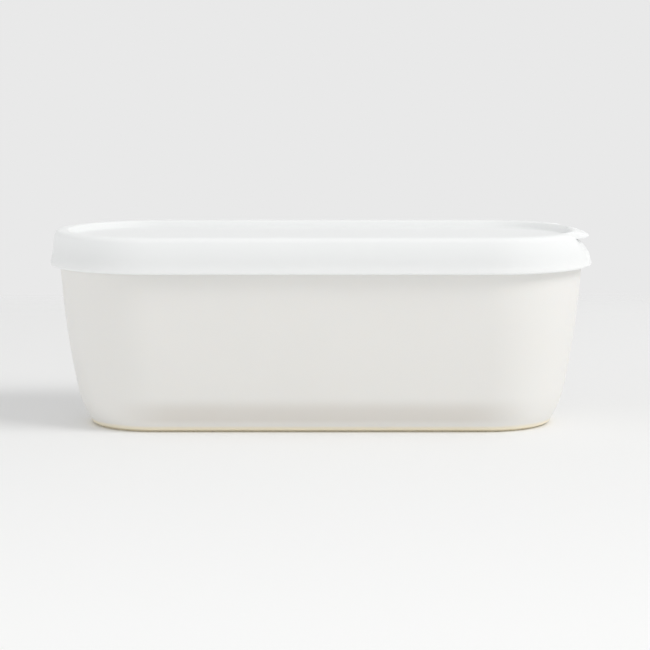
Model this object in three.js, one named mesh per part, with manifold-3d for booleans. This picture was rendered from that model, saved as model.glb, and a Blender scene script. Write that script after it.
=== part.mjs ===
// A long ice cream tub with round ends and a thick soft lid pressed over its rim.
// Millimetres, +Z up. The origin is on the ground under the middle, and the long side runs along X.
import * as THREE from "three";
import { mergeVertices } from "three/addons/utils/BufferGeometryUtils.js";
import Module from "manifold-3d";

// Overall size
const overallLength = 298;
const overallWidth = 118;
const overallHeight = 107.5;

// Plan: every level is two half circles drawn apart along X, so a level is given by its end radius alone
const straightHalf = (overallLength - overallWidth) / 2;
const endSegments = 56;

// Tub: a foot set back under the base edge, a heel that curves out, and a wall that eases to upright
const footHeight = 1.2;
const footInset = 2.4;
const baseRadius = 37.3;
const baseEdge = 0.8;
const heelRadius = 44.5;
const heelHeight = 19.5;
const heelBulge = 55;
const neckRadius = 53.4;
const neckHeight = 87;
const wallBulge = 460;
const tubHeight = 95.5;
const tubEdge = 1.5;

// Lid: a skirt that flares to a lip, a raised round rim and a sunk top panel
const lidGap = 0.3;
const lipRadius = overallWidth / 2;
const lipBottom = 88.2;
const lipEdge = 1.1;
const flareTop = 95.5;
const flareRadius = 43;
const skirtFootRadius = 57.7;
const skirtTopRadius = 56.5;
const rimRounding = 3;
const rimInnerRounding = 1;
const panelRadius = 48.8;
const panelDepth = 4;
const panelLean = 0.6;

// Pull end of the lid: a finger notch with a round shoulder, and a tongue that hangs over it
const shoulderCentre = new THREE.Vector2(40, 85.8);
const shoulderRadius = 19.6;
const shoulderFoot = 91.5;
const notchBackRadius = 50.8;
const notchRimRounding = 1.6;
const notchFootHalf = 19;
const notchTopHalf = 36;
const tongueReach = 147.5;
const tongueRadius = 20;
const tongueRoot = straightHalf + 47;
const tongueBend = straightHalf + panelRadius + 0.4;
const tongueThickness = 2.4;
const tongueEdge = 0.5;
const tongueUnder = 103.1;
const rootTop = 107.25;
const tipTop = 104.7;

const wasm = await Module();
wasm.setup();

// Points of an arc from one profile point to another, its hollow side on the left of the way
function arc(from, to, radius, steps) {
  const chord = to.clone().sub(from);
  const rise = Math.sqrt(radius ** 2 - chord.lengthSq() / 4);
  const across = new THREE.Vector2(-chord.y, chord.x).normalize();
  const centre = from.clone().addScaledVector(chord, 0.5).addScaledVector(across, rise);
  const start = from.clone().sub(centre).angle();
  const turn = 2 * Math.asin(chord.length() / (2 * radius));
  const points = [];
  for (let i = 0; i <= steps; i++) {
    const angle = start + (turn * i) / steps;
    points.push(new THREE.Vector2(radius, 0).rotateAround(new THREE.Vector2(), angle).add(centre));
  }
  return points;
}

// A round corner of a profile that turns left, between two points one radius from the corner
function corner(from, to, steps) {
  return arc(from, to, from.distanceTo(to) / Math.SQRT2, steps);
}

// A profile turned about Z, with no meridian on the X or Y axis
function turned(profile) {
  const circumscribe = 1 / Math.cos(Math.PI / endSegments);
  const outline = profile.map((p) => new THREE.Vector2(p.x * circumscribe, p.y));
  const geometry = new THREE.LatheGeometry(outline, endSegments, Math.PI / endSegments);
  return geometry.rotateX(Math.PI / 2);
}

// A turned profile with its two halves drawn apart along X
// The flat that crosses X = 0 becomes the straight side
function roundEnded(profile) {
  const geometry = turned(profile);
  const position = geometry.getAttribute("position");
  for (let i = 0; i < position.count; i++) {
    const x = position.getX(i);
    position.setX(i, x + Math.sign(x) * straightHalf);
  }
  return geometry;
}

function toSolid(geometry) {
  const bare = geometry.clone();
  bare.deleteAttribute("normal");
  bare.deleteAttribute("uv");
  const merged = mergeVertices(bare, 1e-3);
  const vertProperties = new Float32Array(merged.getAttribute("position").array);
  const triVerts = new Uint32Array(merged.getIndex().array);
  return new wasm.Manifold(new wasm.Mesh({ numProp: 3, vertProperties, triVerts }));
}

function toGeometry(solid) {
  const { vertProperties, triVerts } = solid.getMesh();
  const geometry = new THREE.BufferGeometry();
  geometry.setAttribute("position", new THREE.BufferAttribute(new Float32Array(vertProperties), 3));
  geometry.setIndex(new THREE.BufferAttribute(new Uint32Array(triVerts), 1));
  geometry.computeVertexNormals();
  return geometry;
}

function at(radius, height) {
  return new THREE.Vector2(radius, height);
}

// The tub, solid to its rim because the lid shuts it
function makeTub() {
  const footRadius = baseRadius - footInset;
  const baseHeight = footHeight + baseEdge;
  const profile = [
    at(0, 0),
    at(footRadius, 0),
    at(footRadius, footHeight),
    ...corner(at(baseRadius - baseEdge, footHeight), at(baseRadius, baseHeight), 2),
    ...arc(at(baseRadius, baseHeight), at(heelRadius, heelHeight), heelBulge, 8).slice(1),
    ...arc(at(heelRadius, heelHeight), at(neckRadius, neckHeight), wallBulge, 8).slice(1),
    ...corner(at(neckRadius, tubHeight - tubEdge), at(neckRadius - tubEdge, tubHeight), 3),
    at(0, tubHeight),
  ];
  return roundEnded(profile);
}

// The lid as one turned body, before its pull end is shaped
function makeLidBlank() {
  const cavityRadius = neckRadius + lidGap;
  const ceiling = tubHeight + lidGap;
  const floor = overallHeight - panelDepth;
  const lipSide = lipBottom + lipEdge;
  const shoulder = overallHeight - rimRounding;
  const innerTop = overallHeight - rimInnerRounding;
  const profile = [
    at(0, ceiling),
    at(cavityRadius, ceiling),
    at(cavityRadius, lipBottom),
    ...corner(at(lipRadius - lipEdge, lipBottom), at(lipRadius, lipSide), 3),
    ...arc(at(skirtFootRadius, flareTop), at(lipRadius, lipSide), flareRadius, 4).reverse().slice(1),
    ...corner(at(skirtTopRadius, shoulder), at(skirtTopRadius - rimRounding, overallHeight), 5),
    ...corner(at(panelRadius + rimInnerRounding, overallHeight), at(panelRadius, innerTop), 3),
    at(panelRadius - panelLean, floor),
    at(0, floor),
  ];
  return roundEnded(profile);
}

// The round end as the finger notch leaves it, up through the rim
function makeShoulder() {
  const footAngle = Math.asin((shoulderFoot - shoulderCentre.y) / shoulderRadius);
  const backAngle = Math.acos((notchBackRadius - shoulderCentre.x) / shoulderRadius);
  const reach = new THREE.Vector2(shoulderRadius, 0).add(shoulderCentre);
  const foot = reach.clone().rotateAround(shoulderCentre, footAngle);
  const back = reach.clone().rotateAround(shoulderCentre, backAngle);
  const ridge = notchBackRadius - notchRimRounding;
  const below = shoulderFoot - rimRounding;
  const above = overallHeight + rimRounding * 2;
  const profile = [
    at(0, below),
    at(foot.x, below),
    ...arc(foot, back, shoulderRadius, 8),
    ...corner(at(notchBackRadius, overallHeight - notchRimRounding), at(ridge, overallHeight), 4),
    at(ridge, above),
    at(0, above),
  ];
  return turned(profile).translate(straightHalf, 0, 0);
}

// What the finger notch takes away: a block across the end, wider at the top, less the shoulder
function makeNotch() {
  const above = overallHeight + rimRounding;
  const opening = new THREE.Shape([
    at(-notchFootHalf, shoulderFoot),
    at(notchFootHalf, shoulderFoot),
    at(notchTopHalf, above),
    at(-notchTopHalf, above),
  ]);
  const block = new THREE.ExtrudeGeometry(opening, { depth: overallWidth / 2, bevelEnabled: false });
  block.rotateX(Math.PI / 2);
  block.rotateZ(Math.PI / 2);
  block.translate(straightHalf + notchTopHalf / 2, 0, 0);
  return toSolid(block).subtract(toSolid(makeShoulder()));
}

// The pull tongue: a disc with rounded edges, cut off straight at its root inside the rim
// It is level up to its bend, and from there it droops and thins towards its tip
function makeTongue() {
  const plan = new THREE.Shape();
  const centre = tongueReach - tongueRadius;
  const inner = tongueRadius - tongueEdge;
  const spread = Math.acos((tongueRoot + tongueEdge - centre) / inner);
  plan.absarc(centre, 0, inner, -spread, spread, false);
  const geometry = new THREE.ExtrudeGeometry(plan, {
    depth: tongueThickness - 2 * tongueEdge,
    bevelSize: tongueEdge,
    bevelThickness: tongueEdge,
    bevelSegments: 2,
    curveSegments: 20,
  });
  const position = geometry.getAttribute("position");
  for (let i = 0; i < position.count; i++) {
    const reach = (position.getX(i) - tongueBend) / (tongueReach - tongueBend);
    const under = reach < 0 ? tongueUnder - tongueEdge : tongueUnder;
    const top = THREE.MathUtils.lerp(rootTop, tipTop, reach);
    const share = (position.getZ(i) + tongueEdge) / tongueThickness;
    position.setZ(i, THREE.MathUtils.lerp(under, top, share));
  }
  return toSolid(geometry).trimByPlane([0, 0, -1], -rootTop);
}

function makeLid() {
  const blank = toSolid(makeLidBlank());
  const shouldered = blank.subtract(makeNotch());
  return toGeometry(shouldered.add(makeTongue()));
}

const tubPlastic = new THREE.MeshStandardMaterial({ color: 0xe8e6df, roughness: 0.5, metalness: 0 });
const lidRubber = new THREE.MeshStandardMaterial({ color: 0xf1f2f3, roughness: 0.6, metalness: 0 });

const tub = new THREE.Mesh(makeTub(), tubPlastic);
tub.name = "tub";
const lid = new THREE.Mesh(makeLid(), lidRubber);
lid.name = "lid";

const iceCreamTub = new THREE.Group();
iceCreamTub.add(tub, lid);

export default iceCreamTub;
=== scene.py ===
import math

import bmesh
import bpy
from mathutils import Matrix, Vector


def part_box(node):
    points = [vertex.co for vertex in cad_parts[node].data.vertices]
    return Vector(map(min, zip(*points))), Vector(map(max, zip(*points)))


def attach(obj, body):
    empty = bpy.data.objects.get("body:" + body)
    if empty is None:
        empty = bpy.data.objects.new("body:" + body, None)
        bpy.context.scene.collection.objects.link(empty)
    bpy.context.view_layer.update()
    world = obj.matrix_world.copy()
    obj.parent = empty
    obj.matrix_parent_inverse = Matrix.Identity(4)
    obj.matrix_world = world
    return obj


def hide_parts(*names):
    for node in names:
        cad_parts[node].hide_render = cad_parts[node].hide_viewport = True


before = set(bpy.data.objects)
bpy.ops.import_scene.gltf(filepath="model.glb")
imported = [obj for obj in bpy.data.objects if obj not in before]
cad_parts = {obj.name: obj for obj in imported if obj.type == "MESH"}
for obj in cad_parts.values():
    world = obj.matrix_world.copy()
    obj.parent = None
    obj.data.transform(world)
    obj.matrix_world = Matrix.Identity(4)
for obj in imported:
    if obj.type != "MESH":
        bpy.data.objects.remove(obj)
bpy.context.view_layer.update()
lidLow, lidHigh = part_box("lid")
tubLow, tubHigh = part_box("tub")
straightHalf = lidHigh.x - lidHigh.y  # the two round ends are drawn apart by this much each way
print("frame loaded:", ", ".join(sorted(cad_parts)))


# Hand tools

gaps = {"merge": 1e-6, "cut": 1e-7, "near": 1e-5}  # metres


def deselectAll():
    bpy.ops.object.select_all(action="DESELECT")


def takeUp(piece):  # selected alone and active
    deselectAll()
    piece.select_set(True)
    bpy.context.view_layer.objects.active = piece


def editPiece(piece):
    takeUp(piece)
    bpy.ops.object.mode_set(mode="EDIT")


def leaveEdit():
    bpy.ops.object.mode_set(mode="OBJECT")


def pickVerts(piece, test):  # by place, in edit mode
    mesh = bmesh.from_edit_mesh(piece.data)
    bpy.ops.mesh.select_mode(type="VERT")
    bpy.ops.mesh.select_all(action="DESELECT")
    for vert in mesh.verts:
        vert.select_set(test(vert.co))
    mesh.select_flush_mode()
    bmesh.update_edit_mesh(piece.data)


def pickEdges(piece, test):
    mesh = bmesh.from_edit_mesh(piece.data)
    bpy.ops.mesh.select_mode(type="EDGE")
    bpy.ops.mesh.select_all(action="DESELECT")
    for edge in mesh.edges:
        edge.select_set(test(edge))
    bmesh.update_edit_mesh(piece.data)


def arcPoints(start, end, radius, steps):  # from start to end, its hollow side on the left of the way
    start, end = Vector(start), Vector(end)
    chord = end - start
    rise = math.sqrt(radius ** 2 - chord.length_squared / 4)
    across = Vector((-chord.y, chord.x)).normalized()
    centre = start + chord / 2 + across * rise
    first = math.atan2(start.y - centre.y, start.x - centre.x)
    turn = 2 * math.asin(chord.length / (2 * radius))
    angles = [first + turn * i / steps for i in range(steps + 1)]
    return [(centre.x + radius * math.cos(a), centre.y + radius * math.sin(a)) for a in angles]


def cornerPoints(start, end, steps):  # a quarter round that turns left
    return arcPoints(start, end, (Vector(end) - Vector(start)).length / math.sqrt(2), steps)


def turnProfile(name, profile, segments):  # a disc at the first point, drawn on ring by ring
    deselectAll()
    radius, height = profile[0]
    bpy.ops.mesh.primitive_circle_add(vertices=segments, radius=radius, fill_type="NGON",
                                      location=(0, 0, height), rotation=(0, 0, math.pi / segments))
    piece = bpy.context.object
    piece.name = name
    bpy.ops.object.transform_apply(location=True, rotation=True, scale=True)
    editPiece(piece)
    bpy.ops.mesh.select_all(action="SELECT")
    for nextRadius, nextHeight in profile[1:]:
        bpy.ops.mesh.extrude_region_move(TRANSFORM_OT_translate={"value": (0, 0, nextHeight - height)})
        grow = nextRadius / radius
        bpy.ops.transform.resize(value=(grow, grow, 1), center_override=(0, 0, nextHeight))
        radius, height = nextRadius, nextHeight
    leaveEdit()
    return piece


def drawApart(piece):  # the round pot becomes long: each half moves out along X
    editPiece(piece)
    for side in (1, -1):
        pickVerts(piece, lambda co: co.x * side > 0)
        bpy.ops.transform.translate(value=(side * straightHalf, 0, 0))
    leaveEdit()


def mendMesh():  # in edit mode: doubles merged, faces turned outwards
    bpy.ops.mesh.select_all(action="SELECT")
    bpy.ops.mesh.remove_doubles(threshold=gaps["merge"])
    bpy.ops.mesh.normals_make_consistent(inside=False)


def tidyMesh(piece, smoothAngle):
    editPiece(piece)
    mendMesh()
    leaveEdit()
    bpy.ops.object.shade_smooth_by_angle(angle=math.radians(smoothAngle))


def cutAway(place, outward):  # all that lies beyond a plane, in edit mode
    bpy.ops.mesh.select_all(action="SELECT")
    bpy.ops.mesh.bisect(plane_co=place, plane_no=outward, use_fill=True, clear_outer=True,
                        threshold=gaps["cut"])
    mendMesh()


def join(piece, operation, tool):  # the tool is used up
    takeUp(piece)
    modifier = piece.modifiers.new("join", "BOOLEAN")
    modifier.operation = operation
    modifier.solver = "EXACT"
    modifier.object = tool
    bpy.ops.object.modifier_apply(modifier=modifier.name)
    bpy.data.objects.remove(tool)


# Shader wires

class Wire:
    def __init__(self, tree, socket=None):
        self.tree = tree
        self.socket = socket

    def node(self, kind, settings, inputs, output=0):
        made = self.tree.nodes.new("ShaderNode" + kind)
        for name, value in settings.items():
            setattr(made, name, value)
        for key, value in inputs.items():
            if isinstance(value, Wire):
                self.tree.links.new(value.socket, made.inputs[key])
            else:
                made.inputs[key].default_value = value
        return Wire(self.tree, made.outputs[output])

    def maths(self, operation, first, second):
        return self.node("Math", {"operation": operation}, {0: first, 1: second})

    def __add__(self, other):
        return self.maths("ADD", self, other)

    def __radd__(self, other):
        return self.maths("ADD", other, self)

    def __sub__(self, other):
        return self.maths("SUBTRACT", self, other)

    def __rsub__(self, other):
        return self.maths("SUBTRACT", other, self)

    def __mul__(self, other):
        return self.maths("MULTIPLY", self, other)

    def __rmul__(self, other):
        return self.maths("MULTIPLY", other, self)


def startMaterial(name):
    material = bpy.data.materials.new(name)
    material.use_nodes = True
    tree = material.node_tree
    shader = tree.nodes["Principled BSDF"]
    place = Wire(tree).node("TexCoord", {}, {}, "Object")
    return material, shader, place


def feed(shader, socketName, wire):
    wire.tree.links.new(wire.socket, shader.inputs[socketName])


def setSockets(shader, values):
    for name, value in values.items():
        shader.inputs[name].default_value = value


def axis(place, letter):
    return place.node("SeparateXYZ", {}, {"Vector": place}, letter)


def noise(place, scale, detail):
    return place.node("TexNoise", {}, {"Vector": place, "Scale": scale, "Detail": detail})


def ease(wire, ends, kind="SMOOTHSTEP"):  # nought at the first end, one at the second
    return wire.node("MapRange", {"interpolation_type": kind},
                     {"Value": wire, "From Min": ends[0], "From Max": ends[1]})


def blend(share, first, second):
    return share.node("Mix", {"data_type": "RGBA"}, {0: share, 6: first, 7: second}, 2)


mouldLook = {"mottleDetail": 4, "mottleMean": 0.5, "grainDetail": 2, "waveDetail": 1, "reliefStrength": 0.6}


def mottled(place, look):  # share of the pale tone
    return noise(place, look["mottleScale"], mouldLook["mottleDetail"])


def mouldSurface(shader, place, look, colour):  # what both pieces share: a fine grain over slow waves
    feed(shader, "Base Color", colour)
    spread = (mottled(place, look) - mouldLook["mottleMean"]) * look["roughnessSpread"]
    feed(shader, "Roughness", look["roughness"] + spread)
    grain = noise(place, look["grainScale"], mouldLook["grainDetail"])
    wave = noise(place, look["waveScale"], mouldLook["waveDetail"])
    relief = grain * look["grainDepth"] + wave * look["waveDepth"]
    bump = {"Height": relief, "Distance": 1.0, "Strength": mouldLook["reliefStrength"]}
    feed(shader, "Normal", place.node("Bump", {}, bump))
    setSockets(shader, {
        "Subsurface Weight": look["translucency"], "Subsurface Radius": look["lightReach"],
        "Subsurface Scale": 1.0, "Specular IOR Level": look["specular"],
    })


# Tub

tubForm = {
    "segments": 160, "hub": 0.5,
    "footInset": 0.0024, "footHeight": 0.0012, "footEdge": 0.0004,
    "baseRadius": 0.0373, "baseEdge": 0.0008, "baseSteps": 5,
    "heelRadius": 0.0445, "heelHeight": 0.0195, "heelBulge": 0.055, "heelSteps": 18,
    "neckRadius": tubHigh.y, "neckHeight": 0.087, "wallBulge": 0.46, "wallSteps": 24,
    "topEdge": 0.0015, "topSteps": 4, "smoothAngle": 35,
}

tubLook = {
    "pale": (0.858, 0.848, 0.822, 1), "deep": (0.83, 0.82, 0.793, 1),
    # painted shade: a darker tone low on the straight sides, where the wall turns under
    "heelShadeTone": (0.755, 0.73, 0.69, 1),
    "heelShadeTop": (0.021, 0.012), "heelShadeFoot": (0.0035, 0.008), "heelShadeEnds": (0.12, 0.075),
    # painted warm shade along the foot and the base edge, where it meets the floor
    "footShadeTint": (0.93, 0.85, 0.67, 1), "footShadeTop": (0.0042, 0.0018),
    "mottleScale": 22, "roughness": 0.44, "roughnessSpread": 0.08, "specular": 0.45,
    "grainScale": 2600, "grainDepth": 0.00004, "waveScale": 60, "waveDepth": 0.00005,
    "translucency": 0.12, "lightReach": (0.006, 0.005, 0.004),
}


def tubPlastic(look):
    material, shader, place = startMaterial("tubPlastic")
    colour = blend(mottled(place, look), look["deep"], look["pale"])
    height = axis(place, "Z")
    along = place.maths("ABSOLUTE", axis(place, "X"), 0)
    heelShade = ease(height, look["heelShadeTop"]) * ease(height, look["heelShadeFoot"]) * ease(along, look["heelShadeEnds"])
    colour = blend(heelShade, colour, look["heelShadeTone"])  # painted shade low on the straight sides, where the wall turns under
    # painted warm shade at the foot
    colour = blend(ease(height, look["footShadeTop"]), colour, look["footShadeTint"])
    mouldSurface(shader, place, look, colour)
    return material


def makeTub(form):
    foot = form["baseRadius"] - form["footInset"]
    baseInner = (form["baseRadius"] - form["baseEdge"], form["footHeight"])
    baseOuter = (form["baseRadius"], form["footHeight"] + form["baseEdge"])
    heel = (form["heelRadius"], form["heelHeight"])
    neck = (form["neckRadius"], form["neckHeight"])
    top = tubHigh.z
    profile = [(foot * form["hub"], 0), (foot - form["footEdge"], 0)]
    profile += [(foot, form["footEdge"]), (foot, form["footHeight"])]
    profile += cornerPoints(baseInner, baseOuter, form["baseSteps"])
    profile += arcPoints(baseOuter, heel, form["heelBulge"], form["heelSteps"])[1:]
    profile += arcPoints(heel, neck, form["wallBulge"], form["wallSteps"])[1:]
    profile += cornerPoints((form["neckRadius"], top - form["topEdge"]),
                            (form["neckRadius"] - form["topEdge"], top), form["topSteps"])
    profile += [(form["neckRadius"] * form["hub"], top)]
    piece = turnProfile("tubBody", profile, form["segments"])
    drawApart(piece)
    tidyMesh(piece, form["smoothAngle"])
    return piece


tubBody = makeTub(tubForm)
tubBody.data.materials.append(tubPlastic(tubLook))
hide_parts("tub")
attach(tubBody, "root")
print("tub:", len(tubBody.data.polygons), "faces")


# Lid

lidForm = {
    "segments": 192, "hub": 0.5, "gap": 0.0003,
    "lipEdge": 0.0011, "lipSteps": 5, "flareTop": 0.0955, "flareRadius": 0.043, "flareSteps": 8,
    "skirtFoot": 0.0577, "skirtTop": 0.0565, "rimRounding": 0.003, "rimSteps": 9,
    "innerRounding": 0.001, "innerSteps": 5, "panelRadius": 0.0488, "panelDepth": 0.004,
    "panelLean": 0.0006, "panelFillet": 0.0022, "filletSteps": 4, "panelRings": (0.3, 0.6, 0.85),
    "smoothAngle": 35,
}

notchForm = {
    "centre": (0.04, 0.0858), "shoulder": 0.0196, "shoulderSteps": 16, "foot": 0.0915,
    "backRadius": 0.0508, "rimRounding": 0.0016, "rimSteps": 6,
    "footHalf": 0.019, "topHalf": 0.036, "above": 0.1105, "inner": 0.108, "outer": 0.166, "spare": 0.003,
}

tongueForm = {
    "reach": 0.1475, "radius": 0.02, "rootRadius": 0.047, "bendRadius": 0.0492, "segments": 128,
    "under": 0.1031, "rootTop": 0.10725, "tipTop": 0.1047, "spare": 0.005,
    "edge": 0.0006, "edgeSteps": 4, "sharpAngle": 1,
}

lidLook = {
    "pale": (0.895, 0.907, 0.906, 1), "deep": (0.872, 0.885, 0.884, 1),
    "mottleScale": 18, "roughness": 0.66, "roughnessSpread": 0.08, "specular": 0.3,
    "grainScale": 2200, "grainDepth": 0.00004, "waveScale": 45, "waveDepth": 0.00006,
    "translucency": 0.5, "lightReach": (0.008, 0.008, 0.008),
}


def lidRubber(look):
    material, shader, place = startMaterial("lidRubber")
    mouldSurface(shader, place, look, blend(mottled(place, look), look["deep"], look["pale"]))
    return material


def makeLidBlank(form):  # from the middle of the sunk panel over the rim and lip to the ceiling inside
    top, bottom, lip = lidHigh.z, lidLow.z, lidHigh.y
    floor = top - form["panelDepth"]
    panel, fillet = form["panelRadius"], form["panelFillet"]
    panelFoot = panel - form["panelLean"]
    lipSide = (lip, bottom + form["lipEdge"])
    cavity = tubHigh.y + form["gap"]
    ceiling = tubHigh.z + form["gap"]
    profile = [(panel * share, floor) for share in form["panelRings"]]
    profile += cornerPoints((panelFoot - fillet, floor), (panelFoot, floor + fillet), form["filletSteps"])
    profile += reversed(cornerPoints((panel + form["innerRounding"], top),
                                     (panel, top - form["innerRounding"]), form["innerSteps"]))
    profile += reversed(cornerPoints((form["skirtTop"], top - form["rimRounding"]),
                                     (form["skirtTop"] - form["rimRounding"], top), form["rimSteps"]))
    profile += arcPoints((form["skirtFoot"], form["flareTop"]), lipSide,
                         form["flareRadius"], form["flareSteps"])
    profile += reversed(cornerPoints((lip - form["lipEdge"], bottom), lipSide, form["lipSteps"])[:-1])
    profile += [(cavity, bottom), (cavity, ceiling), (cavity * form["hub"], ceiling)]
    return turnProfile("lidCap", profile, form["segments"])


def makeShoulder(form):  # the round end as the notch leaves it
    across, height = form["centre"]
    top, hub = lidHigh.z, lidForm["hub"]
    footRadius = across + math.sqrt(form["shoulder"] ** 2 - (form["foot"] - height) ** 2)
    backHeight = height + math.sqrt(form["shoulder"] ** 2 - (form["backRadius"] - across) ** 2)
    ridge = form["backRadius"] - form["rimRounding"]
    low, high = form["foot"] - form["spare"], form["above"] + form["spare"]
    profile = [(footRadius * hub, low), (footRadius, low)]
    profile += arcPoints((footRadius, form["foot"]), (form["backRadius"], backHeight),
                         form["shoulder"], form["shoulderSteps"])
    profile += cornerPoints((form["backRadius"], top - form["rimRounding"]), (ridge, top), form["rimSteps"])
    profile += [(ridge, high), (ridge * hub, high)]
    piece = turnProfile("shoulder", profile, lidForm["segments"])
    editPiece(piece)
    bpy.ops.mesh.select_all(action="SELECT")
    bpy.ops.transform.translate(value=(straightHalf, 0, 0))
    leaveEdit()
    tidyMesh(piece, lidForm["smoothAngle"])
    return piece


def makeNotch(form):  # a block across the end, wider at the top, less the shoulder
    shoulder = makeShoulder(form)
    middle = (form["above"] + form["foot"]) / 2
    deselectAll()
    bpy.ops.mesh.primitive_cube_add(size=1)
    block = bpy.context.object
    block.location = ((form["inner"] + form["outer"]) / 2, 0, middle)
    block.scale = (form["outer"] - form["inner"], form["footHalf"] * 2, form["above"] - form["foot"])
    bpy.ops.object.transform_apply(location=True, rotation=True, scale=True)
    editPiece(block)
    pickVerts(block, lambda co: co.z > middle)
    widen = form["topHalf"] / form["footHalf"]
    bpy.ops.transform.resize(value=(1, widen, 1), center_override=(0, 0, form["above"]))
    leaveEdit()
    join(block, "DIFFERENCE", shoulder)
    return block


def makeTongue(form):  # a disc, level up to its bend, that droops and thins to its tip
    root = straightHalf + form["rootRadius"]
    bend = straightHalf + form["bendRadius"]
    low, high = form["under"] - form["spare"], form["rootTop"] + form["spare"]
    deselectAll()
    bpy.ops.mesh.primitive_circle_add(vertices=form["segments"], radius=form["radius"], fill_type="NGON",
                                      location=(form["reach"] - form["radius"], 0, low))
    piece = bpy.context.object
    bpy.ops.object.transform_apply(location=True, rotation=True, scale=True)
    editPiece(piece)
    bpy.ops.mesh.select_all(action="SELECT")
    bpy.ops.mesh.extrude_region_move(TRANSFORM_OT_translate={"value": (0, 0, high - low)})
    cutAway((bend, 0, form["rootTop"]), (form["rootTop"] - form["tipTop"], 0, form["reach"] - bend))
    cutAway((bend, 0, form["under"]), (0, 0, -1))

    def isSharp(edge):
        return edge.calc_face_angle(0) > form["sharpAngle"] and edge.verts[0].co.x > root - form["spare"]

    def isRoot(edge):
        away = [abs(vert.co.x - root) + abs(vert.co.z - form["rootTop"]) for vert in edge.verts]
        return max(away) < gaps["near"]

    pickEdges(piece, isSharp)
    bpy.ops.mesh.bevel(offset=form["edge"], segments=form["edgeSteps"], affect="EDGES")
    mendMesh()
    cutAway((root, 0, 0), (-1, 0, 0))
    cutAway((bend, 0, form["rootTop"]), (0, 0, 1))
    pickEdges(piece, isRoot)
    bpy.ops.mesh.bevel(offset=form["edge"], segments=form["edgeSteps"], affect="EDGES")
    mendMesh()
    leaveEdit()
    return piece


def makeLid():
    piece = makeLidBlank(lidForm)
    drawApart(piece)
    tidyMesh(piece, lidForm["smoothAngle"])
    join(piece, "DIFFERENCE", makeNotch(notchForm))
    join(piece, "UNION", makeTongue(tongueForm))
    tidyMesh(piece, lidForm["smoothAngle"])
    return piece


lidCap = makeLid()
lidCap.data.materials.append(lidRubber(lidLook))
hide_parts("lid")
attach(lidCap, "root")
print("lid:", len(lidCap.data.polygons), "faces")


# Floor, light and camera

floorForm = {
    "halfWidth": 4.0, "front": -4.0, "back": 0.62, "fade": 0.16,
    # far and near: painted light, the floor lighter towards the camera
    "far": (0.905, 0.907, 0.905, 1), "near": (0.985, 0.99, 0.988, 1), "farEdge": 0.05, "nearEdge": -0.45,
    "roughness": 0.75, "specular": 0.2,
}
airLight = {"colour": (1.0, 1.0, 1.0, 1), "seen": 0.815, "shed": 0.67}
keyLight = {
    "name": "key", "place": (2.71, -1.44, 2.86), "size": (1.8, 1.8),
    "power": 68, "colour": (1.0, 0.995, 0.985),
}
fillLight = {
    "name": "fill", "place": (-1.9, -0.6, 0.35), "size": (1.2, 1.0),
    "power": 4.1, "colour": (1.0, 1.0, 0.995),
}
cameraForm = {
    "distance": 1.3, "elevation": 7.64, "aim": (0.00226, 0, 0.05377), "lens": 129.93, "sensor": 36,
}


def floorPaint(form):  # painted light: lighter towards the camera; and fading into the air at the back
    material, shader, place = startMaterial("floorPaint")
    setSockets(shader, {"Roughness": form["roughness"], "Specular IOR Level": form["specular"]})
    depth = axis(place, "Y")
    paintedLightShare = ease(depth, (form["farEdge"], form["nearEdge"]), "LINEAR")
    feed(shader, "Base Color", blend(paintedLightShare, form["far"], form["near"]))
    gone = ease(depth, (form["back"] - form["fade"], form["back"]))
    paint = Wire(place.tree, shader.outputs[0])
    clear = place.node("BsdfTransparent", {}, {})
    shown = place.node("MixShader", {}, {0: gone, 1: paint, 2: clear})
    feed(place.tree.nodes["Material Output"], "Surface", shown)
    return material


def makeFloor(form):
    deselectAll()
    bpy.ops.mesh.primitive_plane_add(size=2, location=(0, (form["front"] + form["back"]) / 2, 0))
    piece = bpy.context.object
    piece.name = "floor"
    piece.scale = (form["halfWidth"], (form["back"] - form["front"]) / 2, 1)
    bpy.ops.object.transform_apply(location=True, rotation=True, scale=True)
    piece.data.materials.append(floorPaint(form))
    return piece


def makeAir(air):  # the backdrop is seen brighter than the light it sheds
    world = bpy.data.worlds.new("studioAir")
    world.use_nodes = True
    background = world.node_tree.nodes["Background"]
    background.inputs["Color"].default_value = air["colour"]
    start = Wire(world.node_tree)
    rays = [start.node("LightPath", {}, {}, kind) for kind in ("Is Camera Ray", "Is Glossy Ray")]
    seen = rays[0] + rays[1]
    feed(background, "Strength", air["shed"] + seen * (air["seen"] - air["shed"]))
    bpy.context.scene.world = world


def makeLamp(form):
    lamp = bpy.data.lights.new(form["name"], "AREA")
    lamp.shape = "RECTANGLE"
    lamp.size, lamp.size_y = form["size"]
    lamp.energy = form["power"]
    lamp.color = form["colour"]
    box = bpy.data.objects.new(form["name"], lamp)
    box.location = form["place"]
    towards = Vector((0, 0, lidHigh.z / 2)) - Vector(form["place"])
    box.rotation_euler = towards.to_track_quat("-Z", "Y").to_euler()
    bpy.context.collection.objects.link(box)


def makeCamera(form):
    lens = bpy.data.cameras.new("camera")
    lens.lens = form["lens"]
    lens.sensor_width = form["sensor"]
    tilt = math.radians(form["elevation"])
    camera = bpy.data.objects.new("camera", lens)
    camera.location = Vector(form["aim"]) + Vector((0, -math.cos(tilt), math.sin(tilt))) * form["distance"]
    camera.rotation_euler = (math.pi / 2 - tilt, 0, 0)
    bpy.context.collection.objects.link(camera)
    bpy.context.scene.camera = camera


makeFloor(floorForm)
makeAir(airLight)
makeLamp(keyLight)
makeLamp(fillLight)
makeCamera(cameraForm)
bpy.context.scene.view_settings.view_transform = "Standard"
print("stage set")
